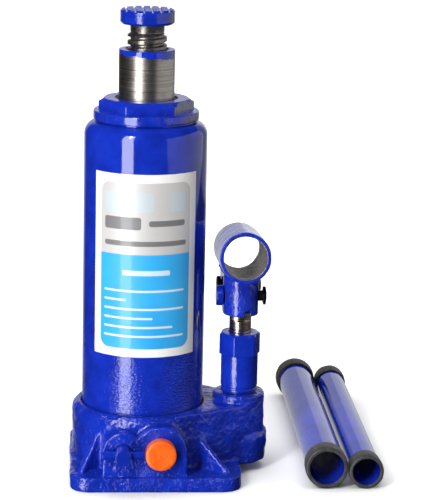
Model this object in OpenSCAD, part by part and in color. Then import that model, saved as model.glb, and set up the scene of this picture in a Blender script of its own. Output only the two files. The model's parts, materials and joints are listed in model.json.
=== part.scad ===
// Five tonne hydraulic bottle jack with its two handle tubes.
// Origin: ram axis at the underside of the base. +Z up, -Y towards the user, +X towards the pump.

/* [Base] */
// Depth of the foot plate, front to back
foot_depth = 88.2; // [86:0.1:92]
// Left edge of the foot plate
foot_left = -37.6; // [-42:0.1:-36]
// Right edge of the foot plate
foot_right = 50.3; // [48:0.1:54]
// Thickness of the foot plate
foot_h = 7.5; // [7:0.1:9]
// Radius of the main boss
boss_r = 36.4; // [35.5:0.1:36.6]
// Height of the main boss
boss_h = 37; // [36:0.1:38]

/* [Reservoir] */
// Outside diameter of the reservoir tube
tube_od = 63; // [61:0.1:63]
// Wall of the reservoir tube
tube_wall = 2.5; // [2:0.1:3]
// Height of the top of the rounded shoulder
shoulder_z = 184.5; // [183:0.1:186]
// Height of the top of the nut
nut_top = 196; // [195:0.1:198]
// Width across the flats of the top nut
nut_flats = 42.6; // [41:0.1:43]

/* [Ram] */
// Outside diameter of the pressure cylinder
cyl_od = 40; // [39:0.1:41]
// Bore of the pressure cylinder
cyl_id = 32; // [31.5:0.1:32.5]
// Diameter of the ram
ram_d = 28.5; // [27.5:0.1:28.5]
// Height of the top of the ram, part raised
ram_top = 220.7; // [216:0.1:230]
// Length of the ram with its piston
ram_length = 165; // [160:0.5:166]
// Thread diameter of the extension screw
screw_d = 20; // [19.5:0.1:20.5]
// Thread pitch of the extension screw
screw_pitch = 4; // [3.5:0.5:4]
// Diameter of the saddle
saddle_d = 27.6; // [26:0.1:28]
// Height of the top of the saddle
saddle_top = 241; // [240.5:0.1:242]

/* [Pump] */
// Distance from the ram axis to the pump axis
pump_x = 50.6; // [50:0.1:52]
// Diameter of the pump piston
plunger_d = 11.4; // [11:0.1:11.8]
// Height of the top of the pump boss
pump_boss_h = 41.4; // [41:0.1:42.5]
// Height of the front pin
front_pin_z = 92.5; // [92:0.1:93]
// Distance from the front pin to the rear pin
pin_gap = 19.5; // [19:0.1:20]
// Outside diameter of the handle socket
socket_od = 26.2; // [25.4:0.1:26.2]
// Bore of the handle socket
socket_id = 22; // [21.8:0.1:22.4]
// Length of the handle socket
socket_l = 50; // [48:0.5:52]
// Tilt of the handle socket, front end up
socket_tilt = 6; // [4:0.5:8]

/* [Valves] */
// Distance of the release valve to the left of the ram axis
release_x = -10.8; // [-11.5:0.1:-10.5]
// Distance of the overload valve to the right of the ram axis
overload_x = 8.3; // [8:0.1:9]
// Height of both valves
valve_z = 20.5; // [20:0.1:21]
// Diameter of the overload valve cap
cap_d = 15.7; // [15:0.1:16]

/* [Handle] */
// Outside diameter of the large handle tube
large_od = 19.4; // [18.8:0.1:19.4]
// Outside diameter of the small handle tube
small_od = 16; // [15.5:0.1:16]
// Length of each handle tube
bar_l = 168; // [160:1:172]
// Place of the large handle tube, to the right of the ram axis
large_x = 94; // [94:0.1:100]

/* [Hidden] */
$fn = 64;
run = 0.05;              // running clearance, on radius
tube_r = tube_od / 2;
tube_seat = boss_h - 2;  // the tube stands on its gasket in a counterbore
cyl_seat = 30;             // the pressure cylinder stands on its gasket
cyl_top = 184;
ram_r = ram_d / 2;
ram_foot = ram_top - ram_length;
piston_h = 14;
screw_r = screw_d / 2;
neck_h = 4.5;
saddle_h = 7.7;
saddle_z = saddle_top - saddle_h;
screw_foot = ram_top - 76;
plunger_r = plunger_d / 2;
plunger_foot = 36;
pump_hex_z = 61.8;
pump_top = 73.2;
ear_out = 9.2;
ear_wall = 2;
pin_r = 2.8;
rear_pin = [pin_gap, front_pin_z + 1];
lug_pin = [21, 31];
link_w = 7;
link_eye_r = 5;
slot_front = 1.8;        // the link's upper eye is slotted towards the front
slot_back = 0.2;
socket_z = front_pin_z + 22.9;
pad_y = -42;
bar_front = -39;
collar_l = 10.5;
collar_step = 1.4;
large_collar_r = large_od / 2 + collar_step;
small_collar_r = small_od / 2 + collar_step - 0.4;
small_x = large_x + large_collar_r + small_collar_r + 0.4;
bar_wall = 0.85;
plug_z = 150;
passage_z = 16;          // height of the pressure passage
screen_at = 24.2 * [cos(30), sin(30)];
outlet_x = 12;
outlet_seat = 22;
inlet_seat = 12;
check_r = 2.75;          // radius of the check balls
seat_r = 1.6;            // radius of the holes that they close
plug_x = 58.5;
valve_end = -24;
valve_hole_r = 1.3;
valve_ball_r = 2.3;
valve_ball_y = valve_end - sqrt(valve_ball_r * valve_ball_r - valve_hole_r * valve_hole_r) - 0.02;
release_r = 4.2;
adjuster_r = 5.4;
stem_front = -50.5;
cross_y = -46.2;
cross_r = 2.1;
cross_half = 10.8;
slot_ends = [rear_pin[0] - slot_front, rear_pin[0] + slot_back];
slot_play = 0.25;
steel = "silver";
paint = "mediumblue";
rubber = "dimgray";

// A ring standing on the ram axis.
module ring(outer, inner, low, high) {
    rotate_extrude() translate([inner, low]) square([outer - inner, high - low]);
}

// A cylinder lying along X from x0 to x1.
module rod_x(r, x0, x1, y, z) {
    translate([x0, y, z]) rotate([0, 90, 0]) cylinder(r = r, h = x1 - x0);
}

// A cylinder lying along Y from y0 to y1.
module rod_y(r, x, y0, y1, z) {
    translate([x, y0, z]) rotate([-90, 0, 0]) cylinder(r = r, h = y1 - y0);
}

// A side profile, drawn in Y and Z, made w wide about the pump's centre plane.
module pump_profile(w) {
    translate([pump_x - w / 2, 0, 0])
        rotate([90, 0, 90]) linear_extrude(w) children();
}

// A flat plate with round corners.
module rounded_plate(x0, x1, y0, y1, r, h) {
    linear_extrude(h) {
        translate([x0 + r, y0]) square([x1 - x0 - 2 * r, y1 - y0]);
        translate([x0, y0 + r]) square([x1 - x0, y1 - y0 - 2 * r]);
        for (x = [x0 + r, x1 - r], y = [y0 + r, y1 - r]) translate([x, y]) circle(r);
    }
}

// ---- Base casting ----

// An upright triangular rib from the main boss out to a corner of the foot.
module gusset(angle, reach, top) {
    half = 1.6;
    rotate([0, 0, angle]) rotate([90, 0, 0]) translate([0, 0, -half])
        linear_extrude(2 * half)
            polygon([[boss_r - 3, foot_h - 1], [reach, foot_h - 1], [reach, foot_h + 1], [boss_r - 3, top]]);
}

// The walls that run from the main boss to the pump boss, tangent to both.
module pump_web(r) {
    turn = acos((boss_r - r) / pump_x);
    translate([0, 0, 5]) linear_extrude(boss_h - 5)
        polygon([[boss_r * cos(turn), -boss_r * sin(turn)], [pump_x + r * cos(turn), -r * sin(turn)],
            [pump_x + r * cos(turn), r * sin(turn)], [boss_r * cos(turn), boss_r * sin(turn)]]);
}

// A valve boss on the front: a round top on a straight-sided wall.
module valve_pad(x, r) {
    rod_y(r, x, pad_y, -10, valve_z);
    translate([x - r, pad_y, 1]) cube([2 * r, 30, valve_z - 1]);
}

// Room for the link's eye between the lugs, and for the head of the pin beside them.
module link_pocket() {
    pump_profile(link_w + 0.4) {
        translate([lug_pin[0], lug_pin[1]]) circle(link_eye_r + 1.8);
        translate([lug_pin[0] - 5.2, lug_pin[1]]) square([12, 10]);
    }
    rod_x(5.4, pump_x - 14, pump_x - link_w / 2 - 5.6, lug_pin[0], lug_pin[1]);
}

module link_lug() {
    for (side = [-1, 1]) translate([side * (link_w / 2 + 2.9), 0, 0]) {
        pump_profile(5.4) {
            translate([lug_pin[0], lug_pin[1]]) circle(6.3);
            translate([10, 3]) square([lug_pin[0] + 6.3 - 10, lug_pin[1] - 3]);
        }
    }
    translate([pump_x - 9, 8, 5]) cube([18, 19.3, 18]);
}

// Oil passages: suction from the reservoir floor to the pump, and pressure from the pump to the ram.
module oil_passages() {
    run_x = pump_x - screen_at[0];
    length = norm([run_x, screen_at[1]]);
    translate([screen_at[0], screen_at[1], 4.5]) {
        cylinder(r = 1.5, h = 30);
        rotate([0, 0, atan2(-screen_at[1], run_x)]) rod_x(1.5, 0, length, 0, 0);
    }
    translate([pump_x, 0, 4.5]) cylinder(r = seat_r, h = 10);
    translate([pump_x, 0, inlet_seat]) cylinder(r = 4.2, h = 10);
    rod_x(seat_r, outlet_x, pump_x + 12, 0, passage_z);
    translate([outlet_x, 0, passage_z]) cylinder(r = seat_r, h = 10);
    translate([outlet_x, 0, outlet_seat]) cylinder(r = check_r + 0.3, h = 10);
    for (x = [release_x, overload_x]) {
        rod_y(valve_hole_r, x, valve_end - 1, -12, valve_z);
        translate([x, -13.3, valve_z]) cylinder(r = valve_hole_r, h = 10);
    }
}

module base_bores() {
    ring(tube_r + 0.4, 0, tube_seat - 1, boss_h + 1);
    ring(cyl_od / 2 + run, 0, cyl_seat - 1, tube_seat);
    translate([pump_x, 0, 20]) cylinder(r = 8 + run, h = 40);
    translate([screen_at[0], screen_at[1], tube_seat - 2.2]) cylinder(r = 3.1, h = 3);
    rod_x(3 + run, plug_x, 75, 0, passage_z);
    rod_y(release_r + run, release_x, pad_y - 3, valve_end, valve_z);
    rod_y(adjuster_r + run, overload_x, pad_y - 3, valve_end, valve_z);
    rod_x(pin_r + run, pump_x - 20, pump_x + 20, lug_pin[0], lug_pin[1]);
    link_pocket();
    oil_passages();
}

module base_casting() color(paint) {
    difference() {
        union() {
            rounded_plate(foot_left, foot_right, -foot_depth / 2, foot_depth / 2, 10, foot_h);
            cylinder(r = boss_r, h = boss_h - 3);
            translate([0, 0, boss_h - 3]) cylinder(r1 = boss_r, r2 = boss_r - 2.4, h = 3);
            pump_web(13.6);
            translate([pump_x, 0, 5]) cylinder(r = 14.7, h = 14);
            translate([pump_x, 0, 19]) cylinder(r1 = 14.7, r2 = 13.5, h = 1.5);
            translate([pump_x, 0, 5]) cylinder(r = 13.5, h = pump_boss_h - 5);
            valve_pad(release_x, 10.5);
            valve_pad(overload_x, 13.5);
            gusset(-131, 50, 31);
            gusset(-40, 57, 27);
            gusset(131, 50, 31);
            gusset(40, 57, 27);
            link_lug();
            rod_x(5.5, 58, plug_x + 7.2, 0, passage_z);
        }
        base_bores();
    }
}

module passage_plug() color(steel)
    rod_x(3, plug_x + 0.5, plug_x + 7, 0, passage_z);

module suction_screen() color(steel)
    translate([screen_at[0], screen_at[1], tube_seat - 2.2]) difference() {
        cylinder(r = 3.05, h = 1);
        for (turn = [0:60:300]) translate([1.9 * cos(turn), 1.9 * sin(turn), -1]) cylinder(r = 0.5, h = 4);
    }

// ---- Reservoir and pressure cylinder ----

module tube_outline(r, corner, top) {
    translate([0, tube_seat]) square([r, top - corner - tube_seat]);
    square_top = top - corner - 1;
    translate([0, square_top]) square([r - corner, corner + 1]);
    intersection() {
        translate([r - corner, top - corner]) circle(corner);
        translate([0, top - corner]) square([r, corner]);
    }
}

module reservoir_tube() color(paint)
    difference() {
        rotate_extrude() difference() {
            tube_outline(tube_r, 7, shoulder_z);
            translate([0, -0.5]) tube_outline(tube_r - tube_wall, 4.8, shoulder_z - tube_wall + 0.5);
            translate([0, tube_seat - 1]) square([23.9, 200]);
            translate([0, tube_seat - 1]) square([tube_r - tube_wall, 10]);
        }
        rod_y(4.5, 0, 0, 60, plug_z);
    }

module tube_bottom_seal() color(rubber)
    ring(tube_r + 0.2, tube_r - 2.6, tube_seat - 1, tube_seat);

module tube_top_seal() color(rubber)
    ring(25.6, 23.7, shoulder_z, shoulder_z + 0.6);

module pressure_cylinder() color(steel)
    ring(cyl_od / 2, cyl_id / 2, cyl_seat, cyl_top);

module cylinder_gasket() color("peru")
    ring(cyl_od / 2, cyl_id / 2, cyl_seat - 1, cyl_seat);

module top_nut() color(paint)
    difference() {
        union() {
            ring(26.6, 0, shoulder_z + 0.6, 189.8);
            ring(23.5, 0, 172, shoulder_z + 1);
            intersection() {
                rotate([0, 0, 3]) translate([0, 0, 189]) cylinder(r = nut_flats / sqrt(3), h = nut_top - 189, $fn = 6);
                union() {
                    translate([0, 0, 188]) cylinder(r = 30, h = 6.4);
                    translate([0, 0, nut_top - 2]) cylinder(r1 = 24.6, r2 = 21.6, h = 2);
                }
            }
        }
        ring(cyl_od / 2 + run, 0, 171, cyl_top + 0.2);
        ring(ram_r + run, 0, 171, 200);
        ring(17, 0, 186.5, 190);
        ring(16, 0, nut_top - 2.6, nut_top + 1);
    }

module rod_seal() color(rubber) ring(16.95, ram_r + run, 186.6, 189.9);

module rod_wiper() color(rubber) ring(15.95, ram_r + run, nut_top - 2.6, nut_top - 0.4);

module front_label() color("deepskyblue")
    rotate([0, 0, -90 - 3 - 53.8])
        rotate_extrude(angle = 2 * 53.8) translate([tube_r + 0.02, 67.7]) square([0.3, 94.1]);

module oil_filler_plug() color(rubber) {
    rod_y(4.45, 0, tube_r - 4, tube_r + 1, plug_z);
    rod_y(7, 0, tube_r + 0.05, tube_r + 2.3, plug_z);
    rod_y(3.2, 0, tube_r + 2, tube_r + 4.4, plug_z);
}

// ---- Ram, extension screw and saddle ----

module ram() color(steel)
    rotate_extrude() difference() {
        translate([0, ram_foot]) union() {
            square([ram_r, ram_length]);
            square([cyl_id / 2 - run, piston_h]);
        }
        translate([13, ram_foot + 4]) square([5, 6]);
        translate([0, screw_foot - 16]) square([screw_r + run, 150]);
    }

module piston_cup() color(rubber) ring(cyl_id / 2 - 0.03, 13.05, ram_foot + 4.1, ram_foot + 8);

module piston_backup_ring() color("ivory") ring(cyl_id / 2 - 0.03, 13.05, ram_foot + 8.1, ram_foot + 9.9);

// The ring rises with the screw and lies loose in a groove round its foot.
module screw_stop_ring() color(steel) ring(screw_r, 8.05, screw_foot + 2.05, screw_foot + 3.95);

// The thread is drawn as rings, one for each turn of the real helix.
module extension_screw() color("gray") {
    root_r = screw_r - 1.5;
    thread_top = saddle_z - neck_h;
    turns = floor((thread_top - screw_foot - 6) / screw_pitch);
    rotate_extrude() polygon(concat(
        [[0, screw_foot], [9, screw_foot], [screw_r - 0.3, screw_foot + 0.8], [screw_r - 0.3, screw_foot + 2],
            [8, screw_foot + 2], [8, screw_foot + 4], [root_r, screw_foot + 4]],
        [for (i = [0:turns - 1]) let (z = thread_top - (turns - i) * screw_pitch)
            each [[root_r, z], [root_r, z + 0.8], [screw_r, z + 1.8], [screw_r, z + 2.6], [root_r, z + 3.6]]],
        [[root_r, thread_top], [root_r, saddle_z], [6, saddle_z], [6, saddle_z + 4], [0, saddle_z + 4]]));
}

module saddle() color(paint) {
    r = saddle_d / 2;
    groove = 1.1;
    step = 4.3;
    difference() {
        rotate_extrude() polygon([[6 + run, saddle_z], [r - 1.2, saddle_z], [r, saddle_z + 1.2],
            [r, saddle_top - 1], [r - 1, saddle_top], [0, saddle_top], [0, saddle_z + 4.1], [6 + run, saddle_z + 4.1]]);
        for (i = [-2.5:1:2.5], turn = [0, 90]) rotate([0, 0, turn])
            translate([i * step - groove / 2, -r - 1, saddle_top - 1]) cube([groove, 2 * r + 2, 2]);
    }
}

// ---- Pump ----

module pump_cylinder() color("steelblue")
    translate([pump_x, 0, 0]) difference() {
        union() {
            ring(8, 0, 21, pump_boss_h);
            ring(9.7, 0, pump_boss_h + 0.8, pump_hex_z);
            ring(8.8, 0, pump_boss_h, pump_boss_h + 1);
            intersection() {
                rotate([0, 0, 14.5]) translate([0, 0, pump_hex_z]) cylinder(r = 11, h = pump_top - pump_hex_z, $fn = 6);
                union() {
                    translate([0, 0, pump_hex_z]) cylinder(r = 11.2, h = pump_top - pump_hex_z - 1.2);
                    translate([0, 0, pump_top - 1.2]) cylinder(r1 = 11.2, r2 = 9.4, h = 1.2);
                }
            }
        }
        ring(plunger_r + run, 0, 20, pump_top + 1);
        ring(7.6, 0, 66, 70);
    }

module pump_cylinder_gasket() color("peru")
    translate([pump_x, 0, 0]) ring(7.9, 4.6, 20, 21);

module pump_rod_seal() color(rubber)
    translate([pump_x, 0, 0]) ring(7.55, plunger_r + run, 66.1, 69.9);

// The front of the piston is relieved below its eye, where the bracket's front wall swings in.
module pump_piston() color("tan")
    difference() {
        union() {
            translate([pump_x, 0, plunger_foot]) cylinder(r = plunger_r, h = front_pin_z - plunger_foot);
            intersection() {
                rod_x(plunger_r, pump_x - 10, pump_x + 10, 0, front_pin_z);
                translate([pump_x, 0, front_pin_z - 10]) cylinder(r = plunger_r, h = 30);
            }
        }
        rod_x(pin_r + run, pump_x - 10, pump_x + 10, 0, front_pin_z);
        difference() {
            translate([pump_x, 0, front_pin_z - 13]) cylinder(r = plunger_r + 1, h = 7.6);
            translate([pump_x, 3.6, front_pin_z - 14]) cylinder(r = 7.1, h = 10);
        }
        translate([pump_x, 0, 0]) ring(plunger_r + 1, 4.2, plunger_foot + 3, plunger_foot + 6);
    }

module pump_piston_seal() color(rubber)
    translate([pump_x, 0, 0]) ring(plunger_r + 0.02, 4.25, plunger_foot + 3.1, plunger_foot + 5.9);

// The bracket is a bent plate, round at the front, with two ears running back to the rear pin.
module bracket_side() {
    translate([-12, front_pin_z - 9.5]) square([20, 28]);
    translate(rear_pin) circle(6.4);
    polygon([[7, front_pin_z - 9.5], [16.5, rear_pin[1] - 5.6], [25.5, rear_pin[1] + 2], [22, socket_z],
        [0, socket_z]]);
}

module bracket_plan(r, back) {
    translate([pump_x, 0]) circle(r);
    translate([pump_x - r, 0]) square([2 * r, back]);
}

module along_socket(r, l) {
    translate([pump_x, 0, socket_z]) rotate([-90 - socket_tilt, 0, 0]) translate([0, 0, -l / 2])
        cylinder(r = r, h = l);
}

module socket_bracket() color(paint)
    difference() {
        intersection() {
            pump_profile(40) bracket_side();
            difference() {
                linear_extrude(200) bracket_plan(ear_out, 30);
                translate([0, 0, -1]) linear_extrude(202) bracket_plan(ear_out - ear_wall, 40);
            }
        }
        along_socket(socket_od / 2 + 0.02, 100);
        rod_x(pin_r + run, pump_x - 20, pump_x + 20, 0, front_pin_z);
        rod_x(pin_r + run, pump_x - 20, pump_x + 20, rear_pin[0], rear_pin[1]);
        translate([pump_x + 1.4, -12, front_pin_z - 10]) cube([3, 8, 3.6]);
    }

module handle_socket() color(paint)
    difference() {
        along_socket(socket_od / 2, socket_l);
        along_socket(socket_id / 2, socket_l + 10);
    }

// A pin with a head on its left and a groove for a clip on its right.
module headed_pin(y, z, head_r, head_x, end_x, clip_x) {
    difference() {
        union() {
            rod_x(pin_r, pump_x + head_x, pump_x + end_x, y, z);
            rod_x(head_r, pump_x + head_x, pump_x - ear_out - 0.15, y, z);
        }
        translate([pump_x + clip_x, y, z]) rotate([0, 90, 0]) ring(pin_r + 1, pin_r - 0.7, 0, 1.5);
    }
}

// A retaining clip: an open ring that snaps into the groove of a pin.
module pin_clip(y, z, clip_x) {
    difference() {
        translate([pump_x + clip_x + 0.05, y, z]) rotate([0, 90, 0]) ring(4.8, pin_r - 0.65, 0, 1.4);
        translate([pump_x + clip_x - 1, y - 1.5, z - 6]) cube([4, 3, 6]);
    }
}

module front_pin() color(steel) headed_pin(0, front_pin_z, 5.3, -13, 13.2, 11.4);

module front_pin_clip() color("black") pin_clip(0, front_pin_z, 11.4);

module rear_pin() color(steel) headed_pin(rear_pin[0], rear_pin[1], 4.6, -11.5, 12, 9.9);

module rear_pin_clip() color("black") pin_clip(rear_pin[0], rear_pin[1], 9.9);

module lug_pin() color(steel) headed_pin(lug_pin[0], lug_pin[1], 4.6, -11.5, 12, 9.9);

module lug_pin_clip() color("black") pin_clip(lug_pin[0], lug_pin[1], 9.9);

module pump_link() color(paint)
    difference() {
        pump_profile(link_w) {
            for (y = slot_ends) translate([y, rear_pin[1]]) circle(link_eye_r);
            translate([slot_ends[0], rear_pin[1] - link_eye_r])
                square([slot_ends[1] - slot_ends[0], 2 * link_eye_r]);
            translate([lug_pin[0], lug_pin[1]]) circle(link_eye_r + 1);
            polygon([[lug_pin[0] - 3.8, lug_pin[1]], [lug_pin[0] + 3.8, lug_pin[1]],
                [rear_pin[0] + 3.3, rear_pin[1]], [rear_pin[0] - 4.3, rear_pin[1]]]);
        }
        for (y = slot_ends) rod_x(pin_r + slot_play, pump_x - 10, pump_x + 10, y, rear_pin[1]);
        translate([pump_x - 10, slot_ends[0], rear_pin[1] - pin_r - slot_play])
            cube([20, slot_ends[1] - slot_ends[0], 2 * (pin_r + slot_play)]);
        rod_x(pin_r + run, pump_x - 10, pump_x + 10, lug_pin[0], lug_pin[1]);
    }

// ---- Valves ----

// How far the centre of a ball stands off the rim of the hole that it closes.
function seat_height(ball_r, hole_r) = sqrt(ball_r * ball_r - hole_r * hole_r) + 0.02;

module inlet_ball() color(steel)
    translate([pump_x, 0, inlet_seat + seat_height(check_r, seat_r)]) sphere(r = check_r);

module outlet_ball() color(steel)
    translate([outlet_x, 0, outlet_seat + seat_height(check_r, seat_r)]) sphere(r = check_r);

module release_stem() color(paint)
    difference() {
        union() {
            rod_y(release_r, release_x, stem_front, -30, valve_z);
            rod_y(2.2, release_x, -31, valve_ball_y - valve_ball_r - 0.02, valve_z);
        }
        rod_x(cross_r + 0.02, release_x - 12, release_x + 12, cross_y, valve_z);
        translate([release_x, 0, valve_z]) rotate([-90, 0, 0]) ring(6, 3, -35, -32.5);
    }

module release_cross_pin() color(paint)
    rod_x(cross_r, release_x - cross_half, release_x + cross_half, cross_y, valve_z);

module release_seal() color(rubber)
    translate([release_x, 0, valve_z]) rotate([-90, 0, 0]) ring(release_r + 0.02, 3.02, -34.9, -32.6);

module release_ball() color(steel) translate([release_x, valve_ball_y, valve_z]) sphere(r = valve_ball_r);

module overload_ball() color(steel) translate([overload_x, valve_ball_y, valve_z]) sphere(r = valve_ball_r);

// A compression spring of round wire on a helix, with closed ends.
module overload_spring() {
    coil_r = 2.6;
    wire_r = 0.5;
    coils = 4;
    steps = 12;
    front = -37.45;
    back = -27.35;
    rise = back - front - 2 * wire_r;
    function along(t) = t < 0.2 ? 0.12 * t : t > 0.8 ? 1 - 0.12 * (1 - t) : 0.024 + (t - 0.2) * 0.952 / 0.6;
    function at(i) = [coil_r * cos(360 * i / steps), coil_r * sin(360 * i / steps),
        front + wire_r + rise * along(i / (coils * steps))];
    color(steel) translate([overload_x, 0, valve_z]) rotate([-90, 0, 0])
        for (i = [0:coils * steps - 1]) hull() {
            translate(at(i)) sphere(r = wire_r, $fn = 8);
            translate(at(i + 1)) sphere(r = wire_r, $fn = 8);
        }
}

module overload_adjuster() color(steel)
    difference() {
        rod_y(adjuster_r, overload_x, -41.5, -37.5, valve_z);
        translate([overload_x - 7, -42, valve_z - 0.7]) cube([14, 1.8, 1.4]);
    }

module overload_cap() color("orangered") {
    rod_y(cap_d / 2, overload_x, -48, pad_y - 0.05, valve_z);
    rod_y(5.3, overload_x, pad_y - 1, pad_y + 0.4, valve_z);
}

// ---- Handle tubes, lying beside the jack ----

module bar_tube(x, od, collar_r) {
    difference() {
        rod_y(od / 2, x, bar_front + 1.5, bar_front + bar_l - 1.5, collar_r);
        rod_y(od / 2 - bar_wall, x, bar_front - 1, bar_front + bar_l + 1, collar_r);
    }
}

// A push-on collar with a lip that covers the tube's end.
module bar_collars(x, od, collar_r) {
    inner = od / 2 + 0.02;
    for (front = [true, false]) {
        start = front ? bar_front : bar_front + bar_l - collar_l;
        lip = front ? bar_front : bar_front + bar_l - 1.4;
        difference() {
            rod_y(collar_r, x, start, start + collar_l, collar_r);
            rod_y(inner, x, start + (front ? 1.45 : -1), start + collar_l - (front ? -1 : 1.45), collar_r);
            rod_y(od / 2 - bar_wall, x, lip - 2, lip + 3, collar_r);
        }
    }
}

module large_handle_tube() color(paint) bar_tube(large_x, large_od, large_collar_r);

module large_handle_collars() color("black") bar_collars(large_x, large_od, large_collar_r);

module small_handle_tube() color(paint) bar_tube(small_x, small_od, small_collar_r);

module small_handle_collars() color("black") bar_collars(small_x, small_od, small_collar_r);

base_casting();
reservoir_tube();
tube_bottom_seal();
tube_top_seal();
pressure_cylinder();
cylinder_gasket();
top_nut();
rod_seal();
rod_wiper();
front_label();
oil_filler_plug();
suction_screen();
passage_plug();
pump_cylinder();
pump_cylinder_gasket();
pump_rod_seal();
inlet_ball();
outlet_ball();
release_stem();
release_cross_pin();
release_seal();
release_ball();
overload_ball();
overload_spring();
overload_adjuster();
overload_cap();
ram();
piston_cup();
piston_backup_ring();
screw_stop_ring();
extension_screw();
saddle();
pump_piston();
pump_piston_seal();
front_pin();
front_pin_clip();
socket_bracket();
handle_socket();
rear_pin();
rear_pin_clip();
pump_link();
lug_pin();
lug_pin_clip();
large_handle_tube();
large_handle_collars();
small_handle_tube();
small_handle_collars();
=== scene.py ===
"""Looks for the bottle jack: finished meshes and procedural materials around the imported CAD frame."""

import json
import math

import bmesh
import bpy
import numpy as np
from mathutils import Matrix, Vector, noise


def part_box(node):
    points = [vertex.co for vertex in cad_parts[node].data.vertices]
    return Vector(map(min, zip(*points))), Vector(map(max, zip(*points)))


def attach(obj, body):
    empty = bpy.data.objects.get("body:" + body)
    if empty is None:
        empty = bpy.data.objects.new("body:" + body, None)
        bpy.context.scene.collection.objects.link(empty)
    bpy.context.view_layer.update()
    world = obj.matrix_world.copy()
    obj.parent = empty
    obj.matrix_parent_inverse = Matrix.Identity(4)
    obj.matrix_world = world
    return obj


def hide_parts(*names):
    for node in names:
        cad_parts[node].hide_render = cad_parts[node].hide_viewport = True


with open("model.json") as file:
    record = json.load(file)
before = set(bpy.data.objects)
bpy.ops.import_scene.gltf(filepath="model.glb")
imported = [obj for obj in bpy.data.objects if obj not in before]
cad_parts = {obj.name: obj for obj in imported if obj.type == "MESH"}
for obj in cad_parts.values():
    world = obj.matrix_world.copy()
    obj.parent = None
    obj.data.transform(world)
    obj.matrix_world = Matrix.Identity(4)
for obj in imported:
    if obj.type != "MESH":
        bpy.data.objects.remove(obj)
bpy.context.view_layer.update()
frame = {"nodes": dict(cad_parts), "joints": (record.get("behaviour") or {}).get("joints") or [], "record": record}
MM = 0.001


# ---------------------------------------------------------------- places, read from the frame


def span(node, axis):
    """Lowest and highest place of a CAD node along one axis, in metres."""
    low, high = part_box(node)
    return low[axis], high[axis]


def length_of(node, axis):
    """How long a CAD node is along one axis, in millimetres."""
    low, high = span(node, axis)
    return (high - low) / MM


def radius_of(node):
    """Half of a CAD node's width, in millimetres."""
    return length_of(node, 0) / 2


def left_end(node):
    """The middle of the left end of a piece that lies along X."""
    low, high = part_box(node)
    return Vector((low.x, (low.y + high.y) / 2, (low.z + high.z) / 2))


def front_end(node):
    """The middle of the front end of a piece that lies along Y."""
    low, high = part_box(node)
    return Vector(((low.x + high.x) / 2, low.y, (low.z + high.z) / 2))


def joint_place(name):
    return Vector(next(j["pos_m"] for j in frame["joints"] if j["name"] == name))


HANDLE_BORE = next(m for m in frame["record"]["mounts"] if m["name"] == "handle_bore")
SOCKET_AXIS = Vector(HANDLE_BORE["axis"])
SOCKET_MIDDLE = Vector(HANDLE_BORE["pos_m"])
PUMP_X = joint_place("handle_pump").x
TUBE_RADIUS = span("reservoir_tube", 0)[1]
RAM_TOP = span("ram", 2)[1]
SCREW_LOW = span("extension_screw", 2)[0]
SADDLE_LOW, SADDLE_HIGH = span("saddle", 2)

# How far round the tube the label's plate reaches from its middle, and where its middle is.
PLATE_HALF = math.radians(53.8)
PLATE_TURN = math.radians(-3)
# The same for the label as it looks.
LABEL_HALF = math.radians(52.0)
LABEL_TURN = math.radians(-0.8)

TO_RIGHT = Matrix.Rotation(math.radians(90), 3, "Y")      # turned along +Z comes to lie along +X
TO_BACK = Matrix.Rotation(math.radians(-90), 3, "X")      # turned along +Z comes to lie along +Y


# ---------------------------------------------------------------- materials


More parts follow.
